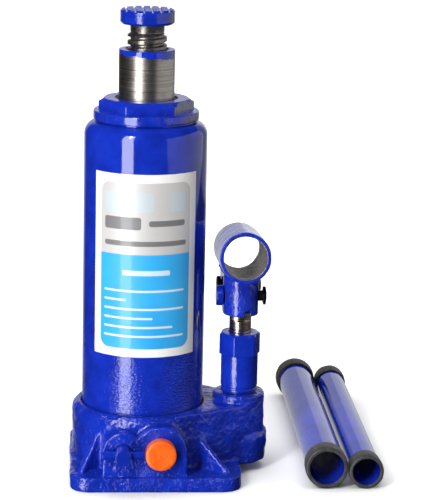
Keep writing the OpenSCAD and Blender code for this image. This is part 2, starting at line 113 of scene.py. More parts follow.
class Graph:
    """One node material, with short calls for the nodes that the looks use."""

    def __init__(self, name):
        self.material = bpy.data.materials.new(name)
        self.material.use_nodes = True
        self.tree = self.material.node_tree
        self.tree.nodes.clear()
        self.place = self.add("TexCoord").outputs["Object"]

    def add(self, kind, inputs=None, **settings):
        node = self.tree.nodes.new("ShaderNode" + kind)
        for key, value in settings.items():
            setattr(node, key, value)
        for key, value in (inputs or {}).items():
            self.put(node.inputs[key], value)
        return node

    def put(self, socket, value):
        if isinstance(value, bpy.types.NodeSocket):
            self.tree.links.new(value, socket)
        else:
            socket.default_value = value

    def math(self, operation, a, b=0.0):
        return self.add("Math", {0: a, 1: b}, operation=operation).outputs[0]

    def largest(self, values):
        first, *others = values
        for value in others:
            first = self.math("MAXIMUM", first, value)
        return first

    def length(self, a, b):
        """The length of a line that goes a one way and b across it."""
        return self.math("SQRT", self.math("ADD", self.math("POWER", a, 2), self.math("POWER", b, 2)))

    def stretched(self, scale):
        """The object's own coordinates, in millimetres times scale on each axis."""
        factor = [1000 * s for s in scale]
        return self.add("VectorMath", {0: self.place, 1: factor}, operation="MULTIPLY").outputs[0]

    def noise(self, grain, detail=3.0, rough=0.55, stretch=(1, 1, 1), twist=0.0):
        """Noise whose blobs are about grain millimetres across."""
        inputs = {"Vector": self.stretched(stretch), "Scale": 1.0 / grain, "Detail": detail,
                  "Roughness": rough, "Distortion": twist}
        return self.add("TexNoise", inputs).outputs["Fac"]

    def ramp(self, value, stops):
        """Colours or greys along a value. stops holds (place, colour) pairs."""
        node = self.add("ValToRGB", {"Fac": value})
        elements = node.color_ramp.elements
        while len(elements) < len(stops):
            elements.new(0.5)
        for element, (place, color) in zip(elements, stops, strict=True):
            element.position = place
            element.color = tint(color)
        return node.outputs["Color"]

    def range(self, value, low, high, new_low, new_high):
        """The value carried from one range to another, and held inside it."""
        inputs = {"Value": value, "From Min": low, "From Max": high, "To Min": new_low, "To Max": new_high}
        return self.add("MapRange", inputs, clamp=True).outputs["Result"]

    def mix(self, share, a, b):
        """Colour a where share is 0, and colour b where it is 1."""
        node = self.add("Mix", {0: share}, data_type="RGBA")
        for place, color in ((6, a), (7, b)):
            self.put(node.inputs[place], color if isinstance(color, bpy.types.NodeSocket) else tint(color))
        return node.outputs[2]

    def bump(self, height, depth_mm, under=None):
        """A height of 0 to 1 as relief of that depth, laid over the relief under it."""
        inputs = {"Height": height, "Strength": 1.0, "Distance": depth_mm * MM}
        if under is not None:
            inputs["Normal"] = under
        return self.add("Bump", inputs).outputs["Normal"]

    def axis(self, letter):
        """One coordinate of the point, in millimetres."""
        split = self.add("SeparateXYZ", {0: self.stretched((1, 1, 1))})
        return split.outputs[letter]

    def shade(self, **inputs):
        """The main surface shader. A name's underscores stand for the spaces in an input's name."""
        named = {key.replace("_", " "): value for key, value in inputs.items()}
        return self.add("BsdfPrincipled", named).outputs[0]

    def blend(self, share, a, b):
        """Shader a where share is 0, and shader b where it is 1."""
        return self.add("MixShader", {0: share, 1: a, 2: b}).outputs[0]

    def finish(self, shader):
        self.add("OutputMaterial", {"Surface": shader})
        return self.material


def tint(color):
    """A colour as four numbers, from a grey or three numbers."""
    if isinstance(color, (int, float)):
        color = (color, color, color)
    return (*color, 1.0)


BLUE_DEEP = (0.005, 0.020, 0.32)
BLUE_FULL = (0.006, 0.027, 0.42)
BLUE_THIN = (0.009, 0.036, 0.48)


def enamel_shader(g, lumps=0.0, grit=0.0, scuffs=0.0, low_peel=False, rubbed_right=False):
    """Glossy blue paint. lumps and grit are the relief of the metal under it, in mm, and scuffs is its wear.
    low_peel lays a coarser skin near the foot. The flag for the right side greys the faces that look to the right
    in streaks, a painted reflection of the lamps on that side."""
    tone = g.noise(9, detail=4)
    color = g.ramp(tone, [(0.32, BLUE_DEEP), (0.52, BLUE_FULL), (0.72, BLUE_THIN)])
    gloss = g.range(g.noise(3, detail=2), 0.3, 0.7, 0.05, 0.11)
    normal = g.bump(g.noise(1.6, detail=2), 0.006)
    if low_peel:
        wet = g.range(g.axis("Z"), 55, 85, 1, 0)
        drops = g.noise(1.5, detail=1, stretch=(1, 1, 1.6), twist=0.6)
        normal = g.bump(g.math("MULTIPLY", drops, wet), 0.34, normal)
    if lumps:
        normal = g.bump(g.noise(3.6, detail=3, rough=0.6), lumps, normal)
    if grit:
        pimples = g.range(g.noise(1.5, detail=2, twist=0.5), 0.52, 0.70, 0, 1)
        crowded = g.range(g.noise(13, detail=2), 0.40, 0.62, 0.15, 1)
        normal = g.bump(g.math("MULTIPLY", pimples, crowded), grit, normal)
    if scuffs:
        lines = g.noise(0.9, detail=4, rough=0.75, stretch=(1, 1, 0.35), twist=1.2)
        patches = g.range(g.noise(7, detail=2), 0.42, 0.62, 0, 1)
        worn = g.math("MULTIPLY", g.range(lines, 0.52, 0.68, 0, scuffs), patches)
        # Painted reflection: faces that look to the right turn grey in streaks, standing in for the lamps on that
        # side. From here worn holds this painted reflection as well as the real scuffs.
        if rubbed_right:
            facing = g.add("SeparateXYZ", {0: g.add("NewGeometry").outputs["Normal"]}).outputs["X"]
            streaks = g.range(lines, 0.35, 0.6, 0.25, 0.95)
            rubbed = g.math("MULTIPLY", g.range(facing, 0.55, 0.8, 0, 1), streaks)
            worn = g.math("MAXIMUM", worn, rubbed)
        color = g.mix(worn, color, (0.16, 0.15, 0.20))
        gloss = g.math("ADD", gloss, g.math("MULTIPLY", worn, 0.3))
    return g.shade(Base_Color=color, Roughness=gloss, Normal=normal, Coat_Weight=0.35, Coat_Roughness=0.03)


def enamel(name, **depths):
    g = Graph(name)
    return g.finish(enamel_shader(g, **depths))


def ground_shader(g, tone, shine=0.30):
    """Bare steel with grinding lines that run round the upright axis."""
    fine = (0.05, 0.05, 9)
    broad = tuple(0.12 * s for s in fine)
    lines = g.noise(1, detail=2, rough=0.7, stretch=fine)
    bands = g.noise(1, detail=3, rough=0.6, stretch=broad)
    stain = g.noise(7, detail=4)
    dark = tuple(0.52 * c for c in tone)
    color = g.mix(g.range(bands, 0.38, 0.66, 0, 1), tone, dark)
    color = g.mix(g.range(stain, 0.5, 0.75, 0, 0.5), color, (0.16, 0.12, 0.08))
    gloss = g.range(lines, 0.3, 0.7, shine - 0.08, shine + 0.14)
    normal = g.bump(lines, 0.010)
    return g.shade(Base_Color=color, Metallic=1.0, Roughness=gloss, Normal=normal)


def ground_steel(name, tone, shine=0.30):
    g = Graph(name)
    return g.finish(ground_shader(g, tone, shine))


def ram_steel():
    """Ground steel with a band of blue overspray round the top, its lower edge uneven."""
    g = Graph("ram_steel")
    bare = ground_shader(g, (0.46, 0.43, 0.40))
    paint = enamel_shader(g)
    band = 3.2
    slope = g.math("MULTIPLY", g.axis("X"), 0.07)
    ragged = g.range(g.noise(3, detail=4), 0.3, 0.7, -0.8, 0.8)
    height = g.math("ADD", g.axis("Z"), g.math("ADD", slope, ragged))
    edge = RAM_TOP / MM - band
    masked = g.range(height, edge - 0.15, edge + 0.15, 0, 1)
    outside = g.math("GREATER_THAN", g.length(g.axis("X"), g.axis("Y")), 11.0)
    return g.finish(g.blend(g.math("MULTIPLY", masked, outside), bare, paint))


def screw_steel(name="screw_steel", tone=(0.26, 0.24, 0.22)):
    """Rolled dark steel with a film of oil and lighter worn crests."""
    g = Graph(name)
    mottled = g.noise(2.2, detail=5, rough=0.65)
    shades = [tuple(share * c for c in tone) for share in (0.5, 1.0, 1.6)]
    color = g.ramp(mottled, list(zip((0.3, 0.55, 0.8), shades)))
    gloss = g.range(mottled, 0.3, 0.7, 0.22, 0.45)
    normal = g.bump(g.noise(0.7, detail=3), 0.02)
    return g.finish(g.shade(Base_Color=color, Metallic=0.95, Roughness=gloss, Normal=normal))


def polished_steel():
    g = Graph("polished_steel")
    haze = g.noise(1.4, detail=3)
    gloss = g.range(haze, 0.3, 0.7, 0.06, 0.16)
    color = g.ramp(haze, [(0.3, 0.55), (0.7, 0.72)])
    return g.finish(g.shade(Base_Color=color, Metallic=1.0, Roughness=gloss))


def copper():
    g = Graph("copper")
    aged = g.noise(3, detail=4)
    color = g.ramp(aged, [(0.35, (0.30, 0.13, 0.07)), (0.7, (0.72, 0.34, 0.20))])
    return g.finish(g.shade(Base_Color=color, Metallic=1.0, Roughness=g.range(aged, 0.3, 0.7, 0.3, 0.5)))


def soft_black(name, tone, sheen, scuffs):
    """Moulded rubber or plastic: dark, matt, with pale scuffs. sheen is its roughness."""
    g = Graph(name)
    cloud = g.noise(5, detail=4)
    scratch = g.noise(1, detail=3, rough=0.7, stretch=(0.7, 0.12, 0.7), twist=0.6)
    color = g.ramp(cloud, [(0.3, 0.6 * tone), (0.7, 1.6 * tone)])
    worn = g.range(scratch, 0.58, 0.74, 0, scuffs)
    color = g.mix(worn, color, (0.16, 0.15, 0.14))
    normal = g.bump(g.noise(0.5, detail=3), 0.03)
    normal = g.bump(cloud, 0.10, normal)
    gloss = g.range(cloud, 0.3, 0.7, sheen - 0.12, sheen + 0.08)
    return g.finish(g.shade(Base_Color=color, Roughness=gloss, Normal=normal, Specular_IOR_Level=0.6))


def pale_plastic():
    g = Graph("pale_plastic")
    cloud = g.noise(4, detail=3)
    color = g.ramp(cloud, [(0.3, (0.62, 0.58, 0.50)), (0.7, (0.76, 0.73, 0.66))])
    return g.finish(g.shade(Base_Color=color, Roughness=0.45, Normal=g.bump(cloud, 0.03)))


def orange_plastic():
    """Moulded orange cap, a little translucent, with a fine grain."""
    g = Graph("orange_plastic")
    cloud = g.noise(4, detail=3)
    color = g.ramp(cloud, [(0.3, (0.86, 0.10, 0.004)), (0.7, (0.95, 0.17, 0.008))])
    normal = g.bump(g.noise(0.8, detail=3), 0.015)
    gloss = g.range(cloud, 0.3, 0.7, 0.30, 0.42)
    return g.finish(g.shade(Base_Color=color, Roughness=gloss, Normal=normal, Subsurface_Weight=0.08,
                            Subsurface_Scale=0.001))


def label_film():
    """A printed film in plain panels: silver over bright blue in a white border, under a clear gloss."""
    g = Graph("label_film")
    low, high = (v / MM for v in span("front_label", 2))
    z = g.axis("Z")
    turn = g.math("ARCTAN2", g.axis("X"), g.math("MULTIPLY", g.axis("Y"), -1.0))
    across = g.math("MULTIPLY", g.math("SUBTRACT", turn, LABEL_TURN), TUBE_RADIUS / MM)
    border = 4.3
    right = LABEL_HALF * TUBE_RADIUS / MM - border
    left, bottom, top = -right, low + border, high - border
    blur = 0.12

    def past(value, centre, half):
        """How far a value lies outside a stretch of that half length."""
        away = g.math("ABSOLUTE", g.math("SUBTRACT", value, centre))
        return g.math("MAXIMUM", g.math("SUBTRACT", away, half), 0.0)

    def panel(x0, x1, z0, z1, corner):
        """1 inside a rounded rectangle of the unrolled film, 0 outside."""
        sideways = past(across, (x0 + x1) / 2, (x1 - x0) / 2 - corner)
        upright = past(z, (z0 + z1) / 2, (z1 - z0) / 2 - corner)
        return g.range(g.length(sideways, upright), corner - blur, corner + blur, 1, 0)

    def bar(start, end, share, half, corner):
        """A level bar. start and end are shares of the panel's width, share of the label's height."""
        centre = low + share * (high - low)
        width = right - left
        return panel(left + start * width, left + end * width, centre - half, centre + half, corner)

    def plate(start, end):
        """A plain plate where a mark would stand, near the top of the panel."""
        width = right - left
        return panel(left + start * width, left + end * width, top - 15.0, top - 4.6, 1.6)

    # Plain bars stand where lines of print would be: (start, end, height).
    small_print = [(0.05, 0.93, 0.365), (0.05, 0.30, 0.315), (0.05, 0.93, 0.265),
                   (0.05, 0.58, 0.215), (0.05, 0.80, 0.165), (0.05, 0.93, 0.115)]
    rules = [bar(start, end, share, 0.55, 0.5) for start, end, share in small_print]
    rules.append(bar(0.26, 0.76, 0.465, 1.3, 0.5))
    plates = [plate(0.05, 0.30), plate(0.36, 0.58), plate(0.76, 0.94)]
    titles = [bar(0.05, 0.45, 0.735, 3.2, 1.2), bar(0.53, 0.93, 0.735, 1.5, 1.2)]
    titles.append(bar(0.05, 0.95, 0.625, 1.3, 1.2))

    inner = panel(left, right, bottom, top, 5.0)
    split = low + 0.565 * (high - low)
    upper = g.range(z, split - 0.15, split + 0.15, 0, 1)
    silver = g.ramp(g.noise(0.25, detail=2), [(0.3, (0.60, 0.595, 0.59)), (0.7, (0.70, 0.69, 0.68))])
    blue = g.ramp(g.noise(30, detail=1), [(0.3, (0.025, 0.38, 0.84)), (0.7, (0.040, 0.45, 0.90))])
    ink = g.mix(upper, blue, silver)
    for marks, strength, tone in ((rules, 0.8, (0.80, 0.88, 0.92)), (plates, 0.75, (0.60, 0.70, 0.76)),
                                  (titles, 0.8, (0.10, 0.10, 0.11))):
        ink = g.mix(g.math("MULTIPLY", g.largest(marks), strength), ink, tone)
    color = g.mix(inner, (0.93, 0.92, 0.91), ink)
    foil = g.math("MULTIPLY", g.math("MULTIPLY", inner, upper), 0.15)
    normal = g.bump(g.noise(6, detail=2), 0.02)
    return g.finish(g.shade(Base_Color=color, Metallic=foil, Roughness=0.45, Normal=normal,
                            Coat_Weight=0.35, Coat_Roughness=0.07))


def socket_enamel():
    """Paint outside; inside the tube, bare steel that is burnt where the bracket was welded on below."""
    g = Graph("socket_enamel")
    middle_y, middle_z = SOCKET_MIDDLE.y / MM, SOCKET_MIDDLE.z / MM
    paint = enamel_shader(g, lumps=0.16, grit=0.12, scuffs=0.6)
    bare = g.ramp(g.noise(3, detail=5), [(0.3, (0.14, 0.10, 0.088)), (0.7, (0.34, 0.30, 0.29))])
    low = g.range(g.axis("Z"), middle_z - 9.5, middle_z - 6, 1, 0)
    behind_rim = g.range(g.axis("Y"), middle_y - 19, middle_y - 13, 0, 1)
    welded = g.math("MULTIPLY", low, behind_rim)
    lumps = g.noise(2.6, detail=4, twist=0.6)
    burnt = g.math("MULTIPLY", welded, g.range(lumps, 0.38, 0.46, 0, 1))
    color = g.mix(burnt, bare, (0.014, 0.011, 0.010))
    rough = g.range(g.noise(2, detail=3), 0.3, 0.7, 0.34, 0.55)
    normal = g.bump(g.math("MULTIPLY", lumps, welded), 0.9)
    steel = g.shade(Base_Color=color, Metallic=0.85, Roughness=rough, Normal=normal)
    centre = list(SOCKET_MIDDLE / MM)
    away = g.add("VectorMath", {0: g.stretched((1, 1, 1)), 1: centre}, operation="SUBTRACT").outputs[0]
    crossed = g.add("VectorMath", {0: away, 1: list(SOCKET_AXIS)}, operation="CROSS_PRODUCT").outputs[0]
    radius = g.add("VectorMath", {0: crossed}, operation="LENGTH").outputs["Value"]
    bore = HANDLE_BORE["dims"]["r_mm"]
    inside = g.range(radius, bore + 0.25, bore + 0.45, 1, 0)
    return g.finish(g.blend(inside, paint, steel))


def pin_head_paint():
    """The front pin: bare dark steel, with paint over its left head."""
    g = Graph("pin_head_paint")
    paint = enamel_shader(g, lumps=0.3)
    dark = g.ramp(g.noise(1.5, detail=4), [(0.3, 0.006), (0.7, 0.02)])
    black = g.shade(Base_Color=dark, Roughness=0.38, Metallic=0.6)
    ragged = g.range(g.noise(1.5, detail=3), 0.3, 0.7, -0.7, 0.7)
    edge = PUMP_X / MM - 9.0
    share = g.range(g.math("ADD", g.axis("X"), ragged), edge - 0.2, edge + 0.2, 1, 0)
    return g.finish(g.blend(share, black, paint))


def floor_paint():
    """A pale floor that glows more the farther it lies from the object, like an evenly lit sweep. Near the object
    ambient occlusion dims the glow, a painted contact shadow.
    """
    g = Graph("floor_paint")
    color = g.ramp(g.noise(60, detail=2), [(0.3, 0.80), (0.7, 0.82)])
    flat = g.add("VectorMath", {0: g.stretched((0.001, 0.001, 0))}, operation="LENGTH").outputs["Value"]
    glow = g.range(flat, 0.25, 1.0, 0.55, 1.0)
    # Painted contact shadow: the glow fades where the object crowds the floor.
    open_sky = g.add("AmbientOcclusion", {"Distance": 0.03}, samples=8).outputs["AO"]
    glow = g.math("MULTIPLY", glow, g.math("POWER", open_sky, 1.6))
    white = tint(1.0)
    return g.finish(g.shade(Base_Color=color, Roughness=0.8, Specular_IOR_Level=0.0, Emission_Color=white,
                            Emission_Strength=glow))


# ---------------------------------------------------------------- mesh helpers


def mesh_piece(name, points, faces, sharp_angle):
    """A new object from points in metres, smooth except at sharp edges."""
    mesh = bpy.data.meshes.new(name)
    mesh.from_pydata([tuple(p) for p in points], [], faces)
    mesh.validate()
    obj = bpy.data.objects.new(name, mesh)
    bpy.context.scene.collection.objects.link(obj)
    smooth(obj, sharp_angle)
    return obj


def smooth(obj, sharp_angle):
    """Smooth shading, with a crease wherever faces meet at more than the sharp angle, in degrees."""
    for polygon in obj.data.polygons:
        polygon.use_smooth = True
    if sharp_angle < 180:
        obj.data.set_sharp_from_angle(angle=math.radians(sharp_angle))


def settle(obj, material, body, stands_for):
    """Gives a finished piece its material, its body and the CAD nodes that it stands for."""
    obj.data.materials.clear()
    obj.data.materials.append(material)
    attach(obj, body)
    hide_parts(*stands_for)
    return obj


def fillet(corners, steps=5):
    """Rounds a closed outline. corners holds (r, z, fillet radius) in mm."""
    outline = []
    count = len(corners)
    for i, (r, z, radius) in enumerate(corners):
        here = Vector((r, z))
        before = Vector(corners[i - 1][:2]) - here
        after = Vector(corners[(i + 1) % count][:2]) - here
        if radius <= 0:
            outline.append(here)
            continue
        half = before.angle(after) / 2
        back = min(radius / math.tan(half), 0.48 * before.length, 0.48 * after.length)
        start, end = here + before.normalized() * back, here + after.normalized() * back
        for k in range(steps + 1):
            t = k / steps
            outline.append(start * (1 - t) ** 2 + here * (2 * t * (1 - t)) + end * t ** 2)
    return outline


def lathe(name, corners, place=(0, 0, 0), turn=Matrix.Identity(3), segments=128, limit=None):
    """A turned piece from a closed outline in mm. limit(r, z, angle) may pull a point in, as for flats."""
    outline = fillet(corners)
    rows = len(outline)
    points, faces = [], []
    matrix = Matrix.Translation(Vector(place)) @ turn.to_4x4()
    for s in range(segments):
        angle = 2 * math.pi * s / segments
        for r, z in outline:
            rr = limit(r, z, angle) if limit else r
            points.append(matrix @ (Vector((rr * math.cos(angle), rr * math.sin(angle), z)) * MM))
    for s in range(segments):
        a, b = s * rows, ((s + 1) % segments) * rows
        for i in range(rows):
            j = (i + 1) % rows
            faces.append((a + i, b + i, b + j, a + j))
    return merge_axis(mesh_piece(name, points, faces, 40))


def merge_axis(obj):
    """Welds points that meet on the axis of a turned piece, and drops the faces that this flattens."""
    work = bmesh.new()
    work.from_mesh(obj.data)
    bmesh.ops.remove_doubles(work, verts=work.verts, dist=1e-7)
    bmesh.ops.recalc_face_normals(work, faces=work.faces)
    work.to_mesh(obj.data)
    work.free()
    return obj


def hexagon(flats, turn_deg, corner=0.7):
    """A limit for lathe(): the outline never passes the flats of a hexagon with rounded corners."""
    half = flats / 2
    corner_centre = (half - corner) / math.cos(math.radians(30))
    flat_end = math.atan((half - corner) * math.tan(math.radians(30)) / half)

    def limit(r, z, angle):
        off_flat = abs(math.radians((math.degrees(angle) - turn_deg) % 60 - 30))
        if off_flat <= flat_end:
            return min(r, half / math.cos(off_flat))
        off_corner = math.radians(30) - off_flat
        across = corner_centre * math.sin(off_corner)
        return min(r, corner_centre * math.cos(off_corner) + math.sqrt(corner ** 2 - across ** 2))
    return limit


def apply_modifiers(obj):
    """Replaces an object's mesh by the result of its modifiers."""
    graph = bpy.context.evaluated_depsgraph_get()
    mesh = bpy.data.meshes.new_from_object(obj.evaluated_get(graph), depsgraph=graph)
    obj.modifiers.clear()
    obj.data = mesh


def joined_copy(name, nodes, extra=()):
    """One mesh holding copies of CAD nodes and of extra objects, which are then removed."""
    points, faces = [], []
    for source in [frame["nodes"][n] for n in nodes] + list(extra):
        start = len(points)
        points.extend(v.co.copy() for v in source.data.vertices)
        faces.extend(tuple(start + i for i in p.vertices) for p in source.data.polygons)
    for source in extra:
        bpy.data.objects.remove(source)
    return mesh_piece(name, points, faces, 180)


def softened(obj, voxel_mm, passes):
    """Voxel remesh and smoothing: every edge gets a radius and every joint a fillet."""
    remesh = obj.modifiers.new("remesh", "REMESH")
    remesh.mode = "VOXEL"
    remesh.voxel_size = voxel_mm * MM
    remesh.use_smooth_shade = True
    relax = obj.modifiers.new("relax", "SMOOTH")
    relax.factor = 0.5
    relax.iterations = passes
    apply_modifiers(obj)
    smooth(obj, 180)
    return obj


def roughen(obj, layers, shield=None):
    """Moves each point along its normal by layered noise. layers holds (grain mm, height mm) pairs."""
    mesh = obj.data
    places = read_vectors(mesh.vertices, "co")
    normals = read_vectors(mesh.vertices, "normal")
    for place, normal in zip(places, normals, strict=True):
        point = Vector(place) / MM
        height = sum(tall * noise.noise(point / grain) for grain, tall in layers)
        if shield:
            height *= shield(point)
        place += normal * (height * MM)
    write_places(mesh, places)


def read_vectors(items, name):
    values = np.empty(len(items) * 3)
    items.foreach_get(name, values)
    return values.reshape(-1, 3)


def write_places(mesh, places):
    mesh.vertices.foreach_set("co", places.ravel())
    mesh.update()


def keep_between(obj, low=None, high=None):
    """Holds every point of a piece between two heights."""
    places = read_vectors(obj.data.vertices, "co")
    places[:, 2] = np.clip(places[:, 2], low, high)
    write_places(obj.data, places)


# ---------------------------------------------------------------- pieces


def base_piece(material):
    """The casting: filleted by remeshing, then given the swell and pimples of sand-cast iron."""
    obj = softened(joined_copy("base_casting_shell", ["base_casting"]), 0.62, 7)
    seat_r, underside = 33.2, 0.6

    def shield(place):
        """Keeps the seats and the underside true, so that the turned parts still sit in them."""
        from_ram = math.hypot(place.x, place.y)
        return min(1.0, max(0.0, min(from_ram - seat_r, place.z - underside) / 2))

    roughen(obj, [(14, 0.55), (5, 0.28), (1.9, 0.20)], shield)
    keep_between(obj, low=0.0)
    return settle(obj, material, "base", ["base_casting"])


def nut_piece(material):
    """Round flange, hexagon with a turned chamfer, and the skirt that grips the cylinder."""
    low, high = (v / MM for v in span("top_nut", 2))
    flange_low, flange_high = 185.1, 189.8
    seal_low, seal_high = 186.5, 190.0
    wiper_low, cylinder_top = high - 2.6, 184.2
    skirt_r, flange_r, hex_r, face_r = 23.5, 27.0, 24.5, 21.4
    bore_r, wiper_r, seal_r, cylinder_r = 14.3, 16.0, 17.0, 20.05
    corners = [(skirt_r, low, 0.4), (skirt_r, flange_low, 0.2), (flange_r, flange_low, 0.9),
               (flange_r, flange_high, 0.9), (hex_r, flange_high, 0.5), (hex_r, high - 2.0, 0.6),
               (face_r, high, 0.5), (wiper_r, high, 0.35), (wiper_r, wiper_low, 0), (bore_r, wiper_low, 0),
               (bore_r, seal_high, 0), (seal_r, seal_high, 0), (seal_r, seal_low, 0),
               (bore_r, seal_low, 0), (bore_r, cylinder_top, 0), (cylinder_r, cylinder_top, 0),
               (cylinder_r, low, 0)]
    flats = hexagon(42.6, 3, 1.2)

    def limit(r, z, angle):
        return flats(r, z, angle) if z > flange_high - 0.6 and 18 < r < 24.6 else r

    obj = lathe("top_nut_shell", corners, segments=360, limit=limit)
    roughen(obj, [(6, 0.10)], lambda p: 1.0 if math.hypot(p.x, p.y) > 20.6 and p.z > 185 else 0.0)
    return settle(obj, material, "base", ["top_nut"])


def label_piece(material):
    """The label's film, a little narrower and farther to the right than the plate that it stands for."""
    obj = joined_copy("front_label_shell", ["front_label"])
    places = read_vectors(obj.data.vertices, "co")
    radius = np.hypot(places[:, 0], places[:, 1])
    turn = np.arctan2(places[:, 0], -places[:, 1])
    turn = (turn - PLATE_TURN) * LABEL_HALF / PLATE_HALF + LABEL_TURN
    places[:, 0] = radius * np.sin(turn)
    places[:, 1] = -radius * np.cos(turn)
    write_places(obj.data, places)
    return settle(obj, material, "base", ["front_label"])


def ram_piece(material):
    """The ram with its piston head, seal groove, screw bore and a broken top edge."""
    low, high = (v / MM for v in span("ram", 2))
    head_r, groove_r, ram_r, bore_r, bore_floor = 15.95, 13, 14.25, 10.05, 128.7
    corners = [(0, low, 0), (head_r, low, 0.5), (head_r, low + 4, 0.2), (groove_r, low + 4, 0),
               (groove_r, low + 10, 0), (head_r, low + 10, 0.2), (head_r, low + 14, 0.5),
               (ram_r, low + 14, 0.3), (ram_r, high, 0.5), (11.6, high, 0.25), (bore_r, high - 1.5, 0.1),
               (bore_r, bore_floor, 0), (0, bore_floor, 0)]
    obj = lathe("ram_shell", corners, segments=192)
    return settle(obj, material, "ram", ["ram"])


def screw_piece(material):
    """The extension screw with a true right-hand helix, its thread fading out under the smooth neck."""
    pitch, crest, root = 4.0, 10.0, 8.45
    foot, neck_low, neck_high = SCREW_LOW / MM, SADDLE_LOW / MM - 4.2, SADDLE_LOW / MM
    segments, step = 120, 0.2

    def held(value):
        return min(max(value, 0.0), 1.0)

    def depth(z, angle):
        """How far the thread stands out of the root, 0 to 1."""
        phase = ((z - pitch * angle / (2 * math.pi)) / pitch) % 1.0
        rise = held((0.5 - abs(phase - 0.5)) * 5.2 - 0.45)
        fade = held((neck_low - z) / 1.2) * held((z - foot - 4.4) / 1.5)
        return rise * rise * (3 - 2 * rise) * fade

    thread_low = foot + 4
    turns = int((neck_low + 0.6 - thread_low) / step) + 1
    rings = [(0, foot), (8.8, foot), (9.6, foot + 0.8), (9.6, foot + 2), (8.0, foot + 2),
             (8.0, thread_low)]
    first = len(rings)
    rings += [(root, thread_low + step * i) for i in range(turns)]
    rings += [(root + 0.2, neck_low + 1.0), (root + 0.2, neck_high - 0.5), (root + 0.6, neck_high),
              (6.0, neck_high), (6.0, neck_high + 4), (0, neck_high + 4)]
    points, faces = [], []
    for k, (r, z) in enumerate(rings):
        for s in range(segments):
            angle = 2 * math.pi * s / segments
            rr = r + (crest - root) * depth(z, angle) if first <= k < first + turns else r
            points.append(Vector((rr * math.cos(angle), rr * math.sin(angle), z)) * MM)
    for k in range(len(rings) - 1):
        for s in range(segments):
            t = (s + 1) % segments
            near, far = k * segments, (k + 1) * segments
            faces.append((near + s, near + t, far + t, far + s))
    obj = merge_axis(mesh_piece("extension_screw_shell", points, faces, 50))
    smooth(obj, 50)
    return settle(obj, material, "screw", ["extension_screw"])


def saddle_piece(material):
    """The cross-cut saddle, its teeth softened under paint."""
    obj = softened(joined_copy("saddle_shell", ["saddle"]), 0.22, 5)
    roughen(obj, [(3, 0.10)])
    keep_between(obj, high=SADDLE_HIGH)
    return settle(obj, material, "screw", ["saddle"])


def pump_cylinder_piece(material):
    """Turned body with a relief at its foot, and the chamfered hexagon that it is screwed in by."""
    foot, hex_low, high = 21, 61.8, span("pump_cylinder", 2)[1] / MM
    seat = span("base_casting", 2)[1] / MM
    seal_low, seal_high = 66.1, 69.9
    thread_r, body_r, relief_r, hex_r, bore_r, seal_r = 8, 9.7, 9.3, 11, 5.75, 7.6
    corners = [(thread_r, foot, 0.4), (thread_r, seat, 0), (8.8, seat, 0.1), (8.8, seat + 1, 0.2),
               (body_r, seat + 1, 0.35), (body_r, seat + 2, 0.3), (relief_r, seat + 2.4, 0.2),
               (relief_r, seat + 3.1, 0.2), (body_r, seat + 3.5, 0.3), (body_r, hex_low, 0.25),
               (hex_r, hex_low, 0.5), (hex_r, high - 1.3, 0.5), (9.5, high, 0.35), (bore_r, high, 0.5),
               (bore_r, seal_high, 0), (seal_r, seal_high, 0), (seal_r, seal_low, 0),
               (bore_r, seal_low, 0), (bore_r, foot, 0)]
    flats = hexagon(19.1, 10.0, 0.9)

    def limit(r, z, angle):
        return flats(r, z, angle) if z > hex_low - 0.05 and r > 8.5 else r

    obj = lathe("pump_cylinder_shell", corners, (PUMP_X, 0, 0), segments=360, limit=limit)

    def outside(point):
        return 1.0 if math.hypot(point.x - PUMP_X / MM, point.y) > 9 else 0.0

    roughen(obj, [(4, 0.10), (1.6, 0.05)], outside)
    return settle(obj, material, "base", ["pump_cylinder"])


def weld_bead(path, radius):
    """A row of overlapping beads along a path in mm, as a weld lays them."""
    points, faces = [], []
    octahedron = [Vector(v) for v in ((0, 0, 1), (0, 0, -1), (1, 0, 0), (-1, 0, 0), (0, 1, 0), (0, -1, 0))]
    sides = [(0, 2, 4), (0, 4, 3), (0, 3, 5), (0, 5, 2), (1, 4, 2), (1, 3, 4), (1, 5, 3), (1, 2, 5)]
    for i, place in enumerate(path):
        size = radius * (1.0 + 0.16 * math.sin(2.1 * i))
        start = len(points)
        points.extend((place + v * size * 1.25) * MM for v in octahedron)
        faces.extend(tuple(start + k for k in side) for side in sides)
    return mesh_piece("bead", points, faces, 180)


def socket_piece(material):
    """The bent bracket and the socket tube, welded and painted as one."""
    ear = radius_of("socket_bracket")
    tube = (span("handle_socket", 0)[1] - PUMP_X) / MM
    centre = SOCKET_MIDDLE / MM
    slope = SOCKET_AXIS.z / -SOCKET_AXIS.y

    def under_tube(x, y):
        """The point of the tube's underside over a place in plan."""
        drop = math.sqrt(max(tube ** 2 - x ** 2, 0)) / math.hypot(1, slope) * (1 + slope ** 2)
        return Vector((PUMP_X / MM + x, y, centre.z - slope * y - drop))

    reach, step = 20, 0.8
    path = [under_tube(-ear, y) for y in np.arange(reach, 0, -step)]
    path += [under_tube(-ear * math.cos(a), -ear * math.sin(a)) for a in np.linspace(0, math.pi, 34)]
    path += [under_tube(ear, y) for y in np.arange(step, reach, step)]
    obj = joined_copy("welded_socket", ["socket_bracket", "handle_socket"], [weld_bead(path, 1.25)])
    softened(obj, 0.30, 5)
    roughen(obj, [(7, 0.16), (2.5, 0.07)])
    return settle(obj, material, "socket", ["socket_bracket", "handle_socket"])


def link_piece(material):
    obj = softened(joined_copy("pump_link_shell", ["pump_link"]), 0.35, 4)
    roughen(obj, [(6, 0.12)])
    return settle(obj, material, "link", ["pump_link"])


